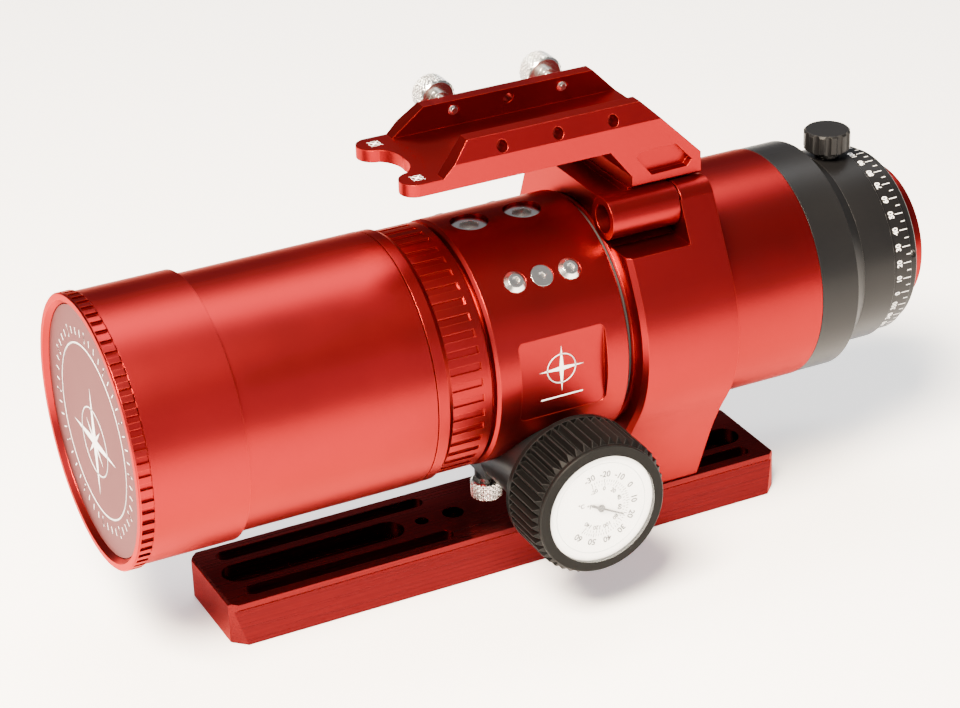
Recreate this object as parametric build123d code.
from build123d import *
import math
import os

os.makedirs("parts", exist_ok=True)

# Everything in mm. X is the optical axis (camera end +X), Z is up,
# the origin is the centre of the dovetail bar's bottom face.
axis_z = 84.3             # height of the optical axis over the bar's bottom face

# --- dovetail bar
bar_half = 109.1
bar_height = 15.5
bar_bottom_half = 22.0
bar_top_half = 20.1
bar_neck_half = 18.75
bar_neck_z = 12.1
bar_lip_z = 13.4
bar_corner_sum = 126.3    # |x| + |y| on the cut corners
slot_y = 12.9
slot_width = 6.4
slot_x = (21.0, 101.0)
slot_head_width = 10.6
slot_head_depth = 8.0
mid_slot_x = (34.7, 104.0)
mid_slot_width = 6.6
mid_slot_head_width = 12.3
mid_slot_head_depth = 7.0
m6_tap_x = 27.2
m6_tap_radius = 2.5
camera_tap_x = 14.8
camera_tap_radius = 3.97  # 3/8 inch thread's core

# --- tube
body_radius = 43.85
body_bore = 37.5
body_x = (-16.4, 34.1)
nose_radius = 40.0
collar_x = (-38.9, -18.2)
tube_radius = 42.2
tube_bore = 38.5
tube_x = (36.0, 113.6)
spigot_radius = 40.5
spigot_x = 27.0
running = 0.05            # radial clearance of every running fit
air = 0.3                 # gap between parts that only pass near each other

# --- focus drive
knob_x = 8.3
knob_z = 45.8
knob_radius = 25.4
bezel_radius = 23.7
shaft_radius = 3.0
pinion_teeth = 16
pinion_pitch = 5.0
carriage_radius = 34.0
carriage_x = (-12.0, 28.0)

# --- cradle
cradle_x = (37.5, 75.0)
cradle_radius = 48.5
hinge_y = -23.5
hinge_z = 129.0
knuckle_radius = 7.6
split_angle = math.degrees(math.atan2(0.507, 0.862))   # the split falls away to the far side
pad_z = 136.6
lug_t = 90.0              # clamp screw's distance from the hinge, along the split
lug_x = 56.0
foot_bolt_x = (46.5, 66.0)

# --- saddle
saddle_floor_z = 156.4
saddle_top_z = 167.0
rail_hole_z = 163.0
rail_hole_radius = 2.0     # M4
rail_hole_x = (-1.0, 20.0, 41.0)
saddle_screw_x = (-1.0, 41.0)

# --- camera end
ring_radius = 42.0
neck_radius = 36.15
scale_radius = 34.8
lock_x = 141.0


def save(shape, name):
    export_step(shape, f"parts/{name}.step")


def prism_x(points, x0, x1):
    """A YZ outline carried along X."""
    face = Plane.YZ.offset(x0) * Polygon(*points, align=None)
    return extrude(face, x1 - x0, dir=(1, 0, 0))


def prism_y(points, y0, y1):
    """An XZ outline carried along Y."""
    face = Plane.XZ.offset(-y1) * Polygon(*points, align=None)
    return extrude(face, y1 - y0, dir=(0, -1, 0))


def turned(*points):
    """An (x, radius) outline turned about the optical axis."""
    face = Plane.XZ * Polygon(*points, align=None)
    return Pos(0, 0, axis_z) * revolve(face, Axis.X, 360)


def sleeve(x0, x1, outer, inner):
    return turned((x0, inner), (x1, inner), (x1, outer), (x0, outer))


def disc(x0, x1, radius):
    return turned((x0, 0), (x1, 0), (x1, radius), (x0, radius))


def rod_x(x0, x1, y, z, radius):
    return Pos((x0 + x1) / 2, y, z) * Rot(0, 90, 0) * Cylinder(radius, x1 - x0)


def rod_y(y0, y1, x, z, radius):
    return Pos(x, (y0 + y1) / 2, z) * Rot(90, 0, 0) * Cylinder(radius, y1 - y0)


def rod_z(z0, z1, x, y, radius):
    return Pos(x, y, (z0 + z1) / 2) * Cylinder(radius, z1 - z0)


def at(x, angle):
    """Frame on the optical axis: local Z points outward, angle from the top to the near side."""
    return Pos(x, 0, axis_z) * Rot(angle, 0, 0)


def rod_at(x, angle, r0, r1, radius):
    return at(x, angle) * Pos(0, 0, (r0 + r1) / 2) * Cylinder(radius, r1 - r0)


def slot(x0, x1, y, width, z0, z1):
    block = Pos((x0 + x1) / 2, y, (z0 + z1) / 2) * Box(x1 - x0 - width, width, z1 - z0)
    return block + rod_z(z0, z1, x0 + width / 2, y, width / 2) + rod_z(z0, z1, x1 - width / 2, y, width / 2)


def knurled(radius, length, count, depth):
    """A knob head along local Z with shallow grooves round its side."""
    head = chamfer(Cylinder(radius, length).edges().filter_by(GeomType.CIRCLE), 0.6)
    cut = Pos(radius + depth, 0, 0) * Cylinder(2 * depth, length)
    return head - [Rot(0, 0, i * 360 / count) * cut for i in range(count)]


def socket_screw(head_radius, head_length, socket, shank_radius, shank_length):
    """Screw along local Z: head above z = 0, shank below, hexagon socket in the top."""
    head = Pos(0, 0, head_length / 2) * Cylinder(head_radius, head_length)
    shank = Pos(0, 0, -shank_length / 2) * Cylinder(shank_radius, shank_length)
    key = extrude(Pos(0, 0, head_length * 0.45) * RegularPolygon(socket / 2, 6), head_length)
    return head + shank - key


# ---------------------------------------------------------------- dovetail bar
bar = prism_x([
    (-bar_bottom_half, 0), (bar_bottom_half, 0), (bar_neck_half, bar_neck_z), (bar_top_half, bar_lip_z),
    (bar_top_half, bar_height), (-bar_top_half, bar_height), (-bar_top_half, bar_lip_z),
    (-bar_neck_half, bar_neck_z)], -bar_half, bar_half)
corner_y = bar_corner_sum - bar_half
plan = Polygon(
    (-bar_half, -corner_y), (-bar_half + 10, -corner_y - 10), (bar_half - 10, -corner_y - 10),
    (bar_half, -corner_y), (bar_half, corner_y), (bar_half - 10, corner_y + 10),
    (-bar_half + 10, corner_y + 10), (-bar_half, corner_y), align=None)
bar = bar & extrude(plan, bar_height, dir=(0, 0, 1))
for side in (-1, 1):
    ends = bar.faces().sort_by(Axis.X)
    end = ends[0] if side < 0 else ends[-1]
    bar = chamfer(end.edges().filter_by(Axis.Y).sort_by(Axis.Z)[-1], 0.9)
for side in (-1, 1):
    for y in (-slot_y, slot_y):
        x0, x1 = sorted((side * slot_x[0], side * slot_x[1]))
        bar -= slot(x0, x1, y, slot_width, 0, bar_height)
        grow = (slot_head_width - slot_width) / 2
        bar -= slot(x0 - grow, x1 + grow, y, slot_head_width, 0, slot_head_depth)
    x0, x1 = sorted((side * mid_slot_x[0], side * mid_slot_x[1]))
    bar -= slot(x0, x1, 0, mid_slot_head_width, bar_height - mid_slot_head_depth, bar_height)
    shrink = (mid_slot_head_width - mid_slot_width) / 2
    bar -= slot(x0 + shrink, x1 - shrink, 0, mid_slot_width, 0, bar_height)
    bar -= rod_z(0, bar_height, side * m6_tap_x, 0, m6_tap_radius)
    bar -= rod_z(0, bar_height, side * camera_tap_x, 0, camera_tap_radius)
save(bar, "dovetail_bar")

foot_bolts = []
for x in foot_bolt_x:
    for y in (-slot_y, slot_y):
        foot_bolts.append(Pos(x, y, slot_head_depth) * Rot(180, 0, 0) * socket_screw(5.0, 6.0, 5.6, 3.0, 17.0))
save(Compound(foot_bolts), "bar_bolts")

# ---------------------------------------------------------------- clamshell ring
hinge_at = Pos(0, hinge_y, hinge_z) * Rot(-split_angle, 0, 0)   # local Y runs along the split, Z across it
flare = 45.56
cradle_outline = Wire([
    Line((-19.5, bar_height), (-27.5, 34)),
    ThreePointArc((-27.5, 34), (-33.03, flare), (-39.7, 56.5)),
    ThreePointArc((-39.7, 56.5), (-cradle_radius, axis_z), (-43.4, 105.9)),
    Line((-43.4, 105.9), (-30.3, 132.4)),
    ThreePointArc((-30.3, 132.4), (hinge_y - 4.2, hinge_z + 6.33), (hinge_y, pad_z)),
    Line((hinge_y, pad_z), (-15, 134)),
    Line((-15, 134), (36, 134)),
    Line((36, 134), (cradle_radius, 104)),
    Line((cradle_radius, 104), (cradle_radius, axis_z)),
    ThreePointArc((cradle_radius, axis_z), (46.9, 72.0), (39.7, 56.5)),
    ThreePointArc((39.7, 56.5), (33.03, flare), (27.5, 34)),
    Line((27.5, 34), (19.5, bar_height)),
    Line((19.5, bar_height), (-19.5, bar_height)),
])
cradle_length = cradle_x[1] - cradle_x[0]
cradle_face = Plane.YZ.offset(cradle_x[0]) * make_face(cradle_outline)
cradle_block = extrude(cradle_face, cradle_length, dir=(1, 0, 0))
front_edges = cradle_block.faces().sort_by(Axis.X)[0].edges()
rim_edges = [e for e in front_edges if 20 < e.center().Z < 134.5 and abs(e.center().Y) > 30]
cradle_block = chamfer(rim_edges, 1.6)
lug = Pos(lug_x, 0, 0) * hinge_at * Pos(0, 88.5, 0) * Box(20, 17, 16)
lug -= disc(40, 80, 46.5)
cradle_block = cradle_block + lug

above = Pos(56, 0, 0) * hinge_at * Pos(0, 45, 40.4) * Box(60, 200, 80)
below = Pos(56, 0, 0) * hinge_at * Pos(0, 45, -80.4) * Box(60, 200, 160)
front_x = cradle_x[0] - 2.2
knuckle_x = (61.5, 62.5)
front_barrel = rod_x(front_x, knuckle_x[0], hinge_y, hinge_z, knuckle_radius)
rear_barrel = rod_x(knuckle_x[1], cradle_x[1], hinge_y, hinge_z, knuckle_radius)
clamp_hole = Pos(lug_x, 0, 0) * hinge_at * Pos(0, lug_t, 0)

lower = cradle_block & below
lower = lower - Pos(42, -50, 158.3) * Box(40, 100, 80)
lower = lower + (rear_barrel - disc(30, 90, tube_radius))
lower -= disc(30, 90, tube_radius)
lower -= rod_x(knuckle_x[1] - 1, 73, hinge_y, hinge_z, 3.0)
lower -= clamp_hole * Cylinder(2.9, 40)
for x in foot_bolt_x:
    for y in (-slot_y, slot_y):
        lower -= rod_z(bar_height, 25.0, x, y, 3.0)
save(lower, "cradle_lower")

upper = cradle_block & above
upper += Pos(61, 0, 135) * Box(28, 40, 3.2)
upper -= rod_x(knuckle_x[0] + 0.4, 90, hinge_y, hinge_z, 8.2)
upper += front_barrel
upper -= disc(30, 90, tube_radius + air)
upper -= rod_x(30, knuckle_x[0] + 1, hinge_y, hinge_z, shaft_radius + running)
upper -= rod_x(30, 48.0, hinge_y, hinge_z, 5.2)
upper -= clamp_hole * Cylinder(2.75, 40)
saddle_bolt_x = (54.0, 68.0)
for x in saddle_bolt_x:
    upper -= rod_z(120, 131.3, x, 0, 4.5)
    upper -= rod_z(131, 138, x, 0, 2.5)
save(upper, "cradle_upper")

pin = rod_x(44.7, 47.8, hinge_y, hinge_z, 4.8) + rod_x(47.8, 73, hinge_y, hinge_z, shaft_radius)
pin -= Pos(43.0, hinge_y, hinge_z) * Rot(0, 90, 0) * extrude(RegularPolygon(2.6, 6), 4, both=True)
save(pin, "hinge_pin")

clamp = Pos(0, 0, 12) * knurled(7.0, 7.4, 20, 0.35)
clamp += Pos(0, 0, 0.5) * Cylinder(2.5, 16)
save(clamp_hole * clamp, "ring_clamp_screw")

# ---------------------------------------------------------------- guider saddle
section = [
    (-22.5, pad_z), (22.5, pad_z), (22.5, 160.5), (19.2, saddle_top_z), (14.2, saddle_top_z),
    (17.6, saddle_floor_z), (-17.6, saddle_floor_z), (-14.2, saddle_top_z), (-19.2, saddle_top_z),
    (-22.5, 160.5)]
profile = [
    (-37, 152), (-37, saddle_floor_z), (-23.5, saddle_floor_z), (-12.9, saddle_top_z),
    (52.6, saddle_top_z), (74.6, 145), (74.6, pad_z), (47.6, pad_z), (47.6, 141.3), (39.2, 152)]
saddle = prism_x(section, -37, 74.6) & prism_y(profile, -30, 30)
ear_outline = Wire([
    Line((-20, -22.5), (-31, -22.5)),
    ThreePointArc((-31, -22.5), (-35.8, -20.6), (-37, -17)),
    ThreePointArc((-37, -17), (-35.6, -13.2), (-31.5, -11)),
    ThreePointArc((-31.5, -11), (-28, -6), (-27.4, 0)),
    ThreePointArc((-27.4, 0), (-28, 6), (-31.5, 11)),
    ThreePointArc((-31.5, 11), (-35.6, 13.2), (-37, 17)),
    ThreePointArc((-37, 17), (-35.8, 20.6), (-31, 22.5)),
    Line((-31, 22.5), (-20, 22.5)),
    Line((-20, 22.5), (-20, -22.5)),
])
ears = Pos(0, 0, 130) * extrude(make_face(ear_outline), 60, dir=(0, 0, 1))
saddle = saddle & (ears + Pos(30, 0, 155) * Box(102, 60, 60))
pocket = [(49, 148.2), (51.3, 149.9), (64.7, 150), (71, 143), (69.1, 140.8), (55.2, 140.5)]
for y0 in (-25.5, 19.5):
    saddle -= prism_y(pocket, y0, y0 + 6)
for x in rail_hole_x:
    saddle -= rod_y(-30, 30, x, rail_hole_z, rail_hole_radius)
for x in saddle_bolt_x:
    saddle -= rod_z(pad_z - 1, 148, x, 0, 2.5)
near_foot = [(-25, pad_z - 1), (-21, pad_z - 1), (-21, pad_z), (-22.7, pad_z + 1.4), (-25, pad_z + 1.4)]
saddle -= prism_x(near_foot, 40, 80)
save(saddle, "saddle_plate")

saddle_bolts = [Pos(x, 0, 131.3) * Rot(180, 0, 0) * socket_screw(4.2, 4.0, 4.2, 2.5, 14) for x in saddle_bolt_x]
save(Compound(saddle_bolts), "saddle_bolts")

for x, name in zip(saddle_screw_x, ("saddle_screw_front", "saddle_screw_rear")):
    grip = Pos(x, 31.5, rail_hole_z) * Rot(90, 0, 0) * knurled(6.5, 8.0, 24, 0.3)
    stem = rod_y(15.6, 28, x, rail_hole_z, rail_hole_radius - running) + rod_y(14.4, 16, x, rail_hole_z, 1.2)
    neck = rod_y(25, 28, x, rail_hole_z, 3.2)
    save(grip + stem + neck, name)

# ---------------------------------------------------------------- tube body
body = turned(
    (-39, body_bore), (27, body_bore), (27, spigot_radius), (34.1, spigot_radius), (34.1, body_radius - 0.5),
    (33.6, body_radius), (-15.4, body_radius), (-16.4, body_radius - 1), (-16.4, nose_radius), (-39, nose_radius))
badge = Pos(9, -45.2, axis_z + 0.4) * Box(33, 8, 29.6)
badge = fillet(badge.edges().filter_by(Axis.Y), 2.5)
body -= badge
plug_x = (-4.1, 16.2)
button_x = (-2.0, 18.8)
flat_x = 8.3
row_angles = (42.5, -42.5)
for x in plug_x:
    body -= rod_at(x, 0, 40.8, 50, 6.75)
    body -= rod_at(x, 0, 36, 42, 6.0)
for angle in row_angles:
    for x in button_x:
        body -= rod_at(x, angle, 36, 50, 2.0)
        body -= rod_at(x, angle, body_radius - 0.8, 50, 4.1)
    body -= rod_at(flat_x, angle, 36, 50, 1.5)
    body -= rod_at(flat_x, angle, body_radius - 1.4, 50, 4.1)
body -= rod_y(-30, 30, knob_x, knob_z, 5.0)
body -= rod_y(-3.6, 3.6, knob_x, knob_z, 6.6)
lock_screw_x = -3.5
lock_screw_y = -5.0
body -= rod_z(38, 50, lock_screw_x, lock_screw_y, 2.5)
save(body, "body_tube")

plugs = []
for x in plug_x:
    plug = Pos(0, 0, 40.8) * socket_screw(6.4, 1.5, 7.5, 6.0, 3.55)
    plug -= Pos(0, 0, 41.6) * extrude(RegularPolygon(3.75, 6), 2.8, both=True)
    plugs.append(at(x, 0) * plug)
save(Compound(plugs), "guide_plugs")

buttons = []
flats = []
for angle in row_angles:
    for x in button_x:
        dome = Pos(0, 0, 43.05) * Cylinder(3.95, 0.9, align=(Align.CENTER, Align.CENTER, Align.MIN))
        dome += Pos(0, 0, 43.95) * Cone(3.95, 2.6, 1.2, align=(Align.CENTER, Align.CENTER, Align.MIN))
        dome += Pos(0, 0, 36.0) * Cylinder(2.0, 7.2, align=(Align.CENTER, Align.CENTER, Align.MIN))
        dome -= Pos(0, 0, 44.2) * extrude(RegularPolygon(1.5, 6), 3)
        buttons.append(at(x, angle) * dome)
    flat = Pos(0, 0, 42.45) * socket_screw(3.95, 1.3, 2.6, 1.5, 6.4)
    flats.append(at(flat_x, angle) * flat)
save(Compound(buttons), "guide_button_screws")
save(Compound(flats), "guide_flat_screws")

pads = []
pad_band = sleeve(-8, 24, body_bore, carriage_radius + running)
for angle in row_angles:
    sector = pad_band & (at(8, angle) * Pos(0, 0, 36) * Box(40, 12, 12))
    for x in button_x:
        sector -= rod_at(x, angle, 36, 40, 2.0)
    sector -= rod_at(flat_x, angle, 36, 40, 1.5)
    pads.append(sector)
save(Compound(pads), "guide_pads")

rail = Pos(7, 0, axis_z + 34.1) * Box(34, 8, 6.2)
rail &= disc(-20, 40, body_bore)
save(rail, "guide_rail")

# ---------------------------------------------------------------- focus carriage
carriage = sleeve(*carriage_x, carriage_radius, 28.0)
carriage -= Pos(8, 0, axis_z + 34) * Box(60, 8 + 2 * running, 6.2)
carriage -= Pos(8, 0, 52) * Box(60, 6, 5)
carriage -= sleeve(8.2, 21, 31, 20)
save(carriage, "focus_carriage")


def arc_middle(vertex, sag, radius):
    """Where a spherical face passes at half its radius."""
    ball = (radius ** 2 + sag ** 2) / (2 * abs(sag))
    drop = ball - math.sqrt(ball ** 2 - (radius / 2) ** 2)
    return (vertex + math.copysign(drop, sag), radius / 2)


def lens(x_front, front_sag, x_rear, rear_sag, radius):
    """Spherical faces; a sag is positive where the face bulges outward."""
    front = x_front - front_sag
    rear = x_rear + rear_sag
    outline = Wire([
        ThreePointArc((x_front, radius), arc_middle(front, front_sag, radius), (front, 0)),
        Line((front, 0), (rear, 0)),
        ThreePointArc((rear, 0), arc_middle(rear, -rear_sag, radius), (x_rear, radius)),
        Line((x_rear, radius), (x_front, radius)),
    ])
    return Pos(0, 0, axis_z) * revolve(Plane.XZ * make_face(outline), Axis.X, 360)


save(lens(11.0, 1.5, 15.5, 1.5, 28.0), "focus_lens_front")
save(lens(17.2, -1.6, 19.4, 1.6, 28.0), "focus_lens_rear")
save(sleeve(20.0, 23.0, 28.0, 26.0), "focus_lens_retainer")

module = 2 * pinion_pitch / pinion_teeth
pressure = math.radians(20)
rack_root = knob_z + pinion_pitch + 1.3 * module
rack = Pos(8, 0, (rack_root + 54.5) / 2) * Box(36, 6, 54.5 - rack_root)
tooth_pitch = math.pi * module
half_tooth = tooth_pitch / 4 - 0.06
for i in range(-8, 9):
    centre = knob_x + i * tooth_pitch
    root = half_tooth + 1.3 * module * math.tan(pressure)
    tip = half_tooth - 0.9 * module * math.tan(pressure)
    tip_z = knob_z + pinion_pitch - 0.9 * module
    tooth = [(centre - root, rack_root), (centre - tip, tip_z), (centre + tip, tip_z), (centre + root, rack_root)]
    rack += prism_y(tooth, -3, 3)
save(rack, "focus_rack")


def involute_half_angle(radius):
    """Half a pinion tooth's angle at a radius, with a little backlash."""
    base = pinion_pitch * math.cos(pressure)
    at_pitch = math.pi / (2 * pinion_teeth) - 0.05 / pinion_pitch
    turn = math.acos(min(1.0, base / radius))
    return at_pitch + (math.tan(pressure) - pressure) - (math.tan(turn) - turn)


pinion_points = []
pinion_tip = pinion_pitch + 0.9 * module
pinion_root = pinion_pitch - 1.3 * module
pinion_base = pinion_pitch * math.cos(pressure)
flank = [pinion_root] + [pinion_base + (pinion_tip - pinion_base) * k / 4 for k in range(5)]
for i in range(pinion_teeth):
    middle = math.pi / 2 + (i + 0.5) * 2 * math.pi / pinion_teeth
    for r in flank:
        a = middle - involute_half_angle(max(r, pinion_base))
        pinion_points.append((knob_x + r * math.cos(a), knob_z + r * math.sin(a)))
    for r in reversed(flank):
        a = middle + involute_half_angle(max(r, pinion_base))
        pinion_points.append((knob_x + r * math.cos(a), knob_z + r * math.sin(a)))
pinion = prism_y(pinion_points, -2.8, 2.8) - rod_y(-5, 5, knob_x, knob_z, shaft_radius)
save(pinion, "focus_pinion")

# ---------------------------------------------------------------- focus housing and knob
housing_radius = 18.3
housing = rod_y(-47.4, -12, knob_x, knob_z, housing_radius)
housing += Pos(knob_x - 1, 0, 40) * Box(30, 26, 13)
housing += rod_y(10, 34, knob_x, knob_z, 9.0)
housing -= disc(-30, 60, body_radius)
housing -= rod_y(-47.4, -38, knob_x, knob_z, 14.0)
housing -= rod_y(-50, 34, knob_x, knob_z, 5.0)
housing -= rod_y(-3.6, 3.6, knob_x, knob_z, 6.6)
housing -= rod_z(20, 50, lock_screw_x, lock_screw_y, 2.5)
save(housing, "focuser_housing")

bushings = []
for y0, y1 in ((-38.0, -28.0), (20.0, 30.0)):
    bushings.append(rod_y(y0, y1, knob_x, knob_z, 5.0) - rod_y(y0, y1, knob_x, knob_z, shaft_radius + running))
save(Compound(bushings), "shaft_bushings")
save(rod_y(34, 36, knob_x, knob_z, 9.0), "shaft_end_cap")

shaft = rod_y(-62, 33.5, knob_x, knob_z, shaft_radius)
save(shaft, "pinion_shaft")

knob = rod_y(-68.6, -50.4, knob_x, knob_z, knob_radius)
knob = chamfer(knob.faces().sort_by(Axis.Y)[0].edges(), 1.6)
vee = Polygon((knob_radius - 2.2, 0), (knob_radius + 1, -2.2), (knob_radius + 1, 2.2), align=None)
vee = extrude(vee, 10.5, both=True)
knob_middle = Pos(knob_x, -60.9, knob_z) * Rot(90, 0, 0)
knob -= [knob_middle * Rot(0, 0, i * 7.5) * vee for i in range(48)]
knob += rod_y(-50.4, -48.3, knob_x, knob_z, knob_radius)
knob -= rod_y(-70, -63, knob_x, knob_z, 21.0)
knob -= rod_y(-70, -40, knob_x, knob_z, shaft_radius)
save(knob, "focus_knob")
bezel = rod_y(-70.3, -68.6, knob_x, knob_z, bezel_radius) + rod_y(-68.6, -67.4, knob_x, knob_z, 21.0)
bezel = chamfer(bezel.faces().sort_by(Axis.Y)[0].edges(), 0.3)
save(bezel - rod_y(-71, -67, knob_x, knob_z, 19.9), "knob_bezel")
dial = rod_y(-69.2, -68.2, knob_x, knob_z, 19.9) - rod_y(-70, -68, knob_x, knob_z, 0.55)
save(dial, "thermometer_dial")
save(rod_y(-70.9, -70.3, knob_x, knob_z, 19.9) + rod_y(-70.3, -70.1, knob_x, knob_z, 19.9), "thermometer_glass")
case = rod_y(-68.2, -63, knob_x, knob_z, 12.0) - rod_y(-68.3, -66, knob_x, knob_z, 0.55)
save(case, "thermometer_case")
needle = prism_y([(-4, -0.45), (9.6, -0.18), (9.6, 0.18), (-4, 0.45)], -69.75, -69.5)
needle += rod_y(-69.9, -69.3, 0, 0, 1.3)
needle += rod_y(-69.5, -66.3, 0, 0, 0.5)
save(Pos(knob_x, 0, knob_z) * Rot(0, 28, 0) * needle, "thermometer_needle")

lock_head = Pos(lock_screw_x, lock_screw_y, 25.5) * knurled(5.5, 7.0, 28, 0.25)
lock_stem = rod_z(29, 38.5, lock_screw_x, lock_screw_y, 2.5 - running)
save(lock_head + lock_stem, "focus_lock_screw")
save(rod_z(30.6, 33.5, lock_screw_x, lock_screw_y, 4.2) - rod_z(30, 34, lock_screw_x, lock_screw_y, 2.5),
     "lock_screw_collar")

# ---------------------------------------------------------------- front end
ring = turned(
    (-38.9, nose_radius + running), (-18.2, nose_radius + running), (-18.2, 43.1), (-18.6, 43.5), (-33.3, 43.5),
    (-35, 44.6), (-38.9, 44.6))
groove_cut = Pos(0, 0, 43.6) * Box(11.6, 2.6, 1.6)
ring -= [at(-27.4, i * 7.5) * groove_cut for i in range(48)]
save(ring, "lock_ring")

cell = turned(
    (-39, 34), (-31, 34), (-31, body_bore), (-39, body_bore), (-39, 42), (-76, 42), (-76, 36), (-51.8, 36), (-51.8, 34.5),
    (-39, 34.5))
save(cell, "objective_cell")
save(lens(-72.5, 2.6, -66.5, 2.2, 36.0), "objective_front_lens")
save(sleeve(-66.3, -62.5, 36.0, 34.6), "objective_spacer")
save(lens(-62.5, -2.2, -52.0, 1.0, 36.0), "objective_rear_lens")
save(sleeve(-76, -72.8, 36.0, 34.4), "objective_retainer")

shield = turned(
    (-39.1, 42 + running), (-70, 42 + running), (-72, 43.2), (-134, 43.2), (-134, 44.7), (-39.4, 44.7),
    (-39.1, 44.4))
save(shield, "dew_shield")

rim = turned(
    (-146.3, 45.0), (-146.3, 47.0), (-145.8, 47.5), (-141.6, 47.5), (-141.1, 47.1), (-141.1, 45.5), (-136.5, 45.5),
    (-136.5, 41.05), (-141.4, 41.05), (-141.4, 43.6), (-144.5, 43.6))
tooth_cut = Pos(0, 0, 47.4) * Box(4.8, 2.3, 1.9)
rim -= [at(-143.2, i * 360 / 66) * tooth_cut for i in range(66)]
save(rim, "cap_rim")
save(sleeve(-141.1, -107.9, 46.8, 45.5), "cap_sleeve")
save(turned((-144.4, 0), (-144.4, 43.3), (-141.5, 43.3), (-141.5, 41.0), (-137, 41.0), (-137, 38), (-141.5, 38),
            (-141.5, 0)), "cap_face_plate")
mask = disc(-136.5, -135.0, 45.5)
for i in range(-5, 6):
    mask -= Pos(-136, -18, axis_z + i * 6.2) * Box(6, 30, 2.4)
    for side in (-1, 1):
        bar_angle = Pos(-136, 3, axis_z + side * 20) * Rot(side * 20, 0, 0) * Pos(0, 15, i * 3.1)
        if abs(i) % 2 == 0:
            mask -= bar_angle * Box(6, 24, 2.2)
save(mask, "focus_mask")
save(sleeve(-133.5, -111, 45.5, 44.7 + running), "cap_felt")

# ---------------------------------------------------------------- camera end
tube = turned(
    (spigot_x, tube_bore), (tube_x[1], tube_bore), (tube_x[1], tube_radius - 0.4), (tube_x[1] - 0.4, tube_radius),
    (tube_x[0] + 0.6, tube_radius), (tube_x[0], tube_radius - 0.6), (tube_x[0], spigot_radius),
    (spigot_x, spigot_radius))
save(tube, "rear_tube")
save(sleeve(34.15, 35.95, 41.3, spigot_radius), "tube_seal")
adapter = turned(
    (106, 33), (135.1, 33), (135.1, neck_radius), (129.4, 39.7), (128.5, ring_radius), (tube_x[1], ring_radius),
    (tube_x[1], tube_bore), (106, tube_bore))
save(adapter, "rear_adapter")
rotator = turned(
    (128, 30.05), (148.2, 30.05), (148.2, neck_radius - 0.3), (147.9, neck_radius), (135.1, neck_radius), (135.1, 33),
    (128, 33))
rotator -= rod_z(112, 124, lock_x, 0, 2.5)
save(rotator, "rotator_housing")
scale = turned(
    (129, 26.5), (159.7, 26.5), (159.7, 32.6), (159.3, 33), (156.4, 33), (156, scale_radius), (148.8, scale_radius),
    (148.8, 30), (129, 30))
set_angles = (80, 200, 320)
set_screw_radius = 1.5
for angle in set_angles:
    scale -= rod_at(157.9, angle, 26, 35, set_screw_radius)
save(scale, "scale_ring")
save(turned((139, 24), (166.5, 24), (166.5, 26.1), (166.1, 26.5), (139, 26.5)), "camera_flange")
set_screws = []
for angle in set_angles:
    grub = rod_at(157.9, angle, 26.5, 31.4, set_screw_radius)
    grub -= at(157.9, angle) * Pos(0, 0, 31) * extrude(RegularPolygon(0.85, 6), 3)
    set_screws.append(grub)
save(Compound(set_screws), "flange_set_screws")

grip = Pos(lock_x, 0, 127.25) * Cylinder(8.5, 7.5)
grip = chamfer(grip.edges().filter_by(GeomType.CIRCLE), 0.7)
grip -= [Pos(lock_x, 0, 127.25) * Rot(0, 0, i * 30) * Pos(9.2, 0, 0) * Cylinder(1.5, 8) for i in range(12)]
grip += rod_z(120.8, 124, lock_x, 0, 4.5)
grip += rod_z(114.6, 121, lock_x, 0, 2.5 - running)
save(grip, "rotator_lock_screw")
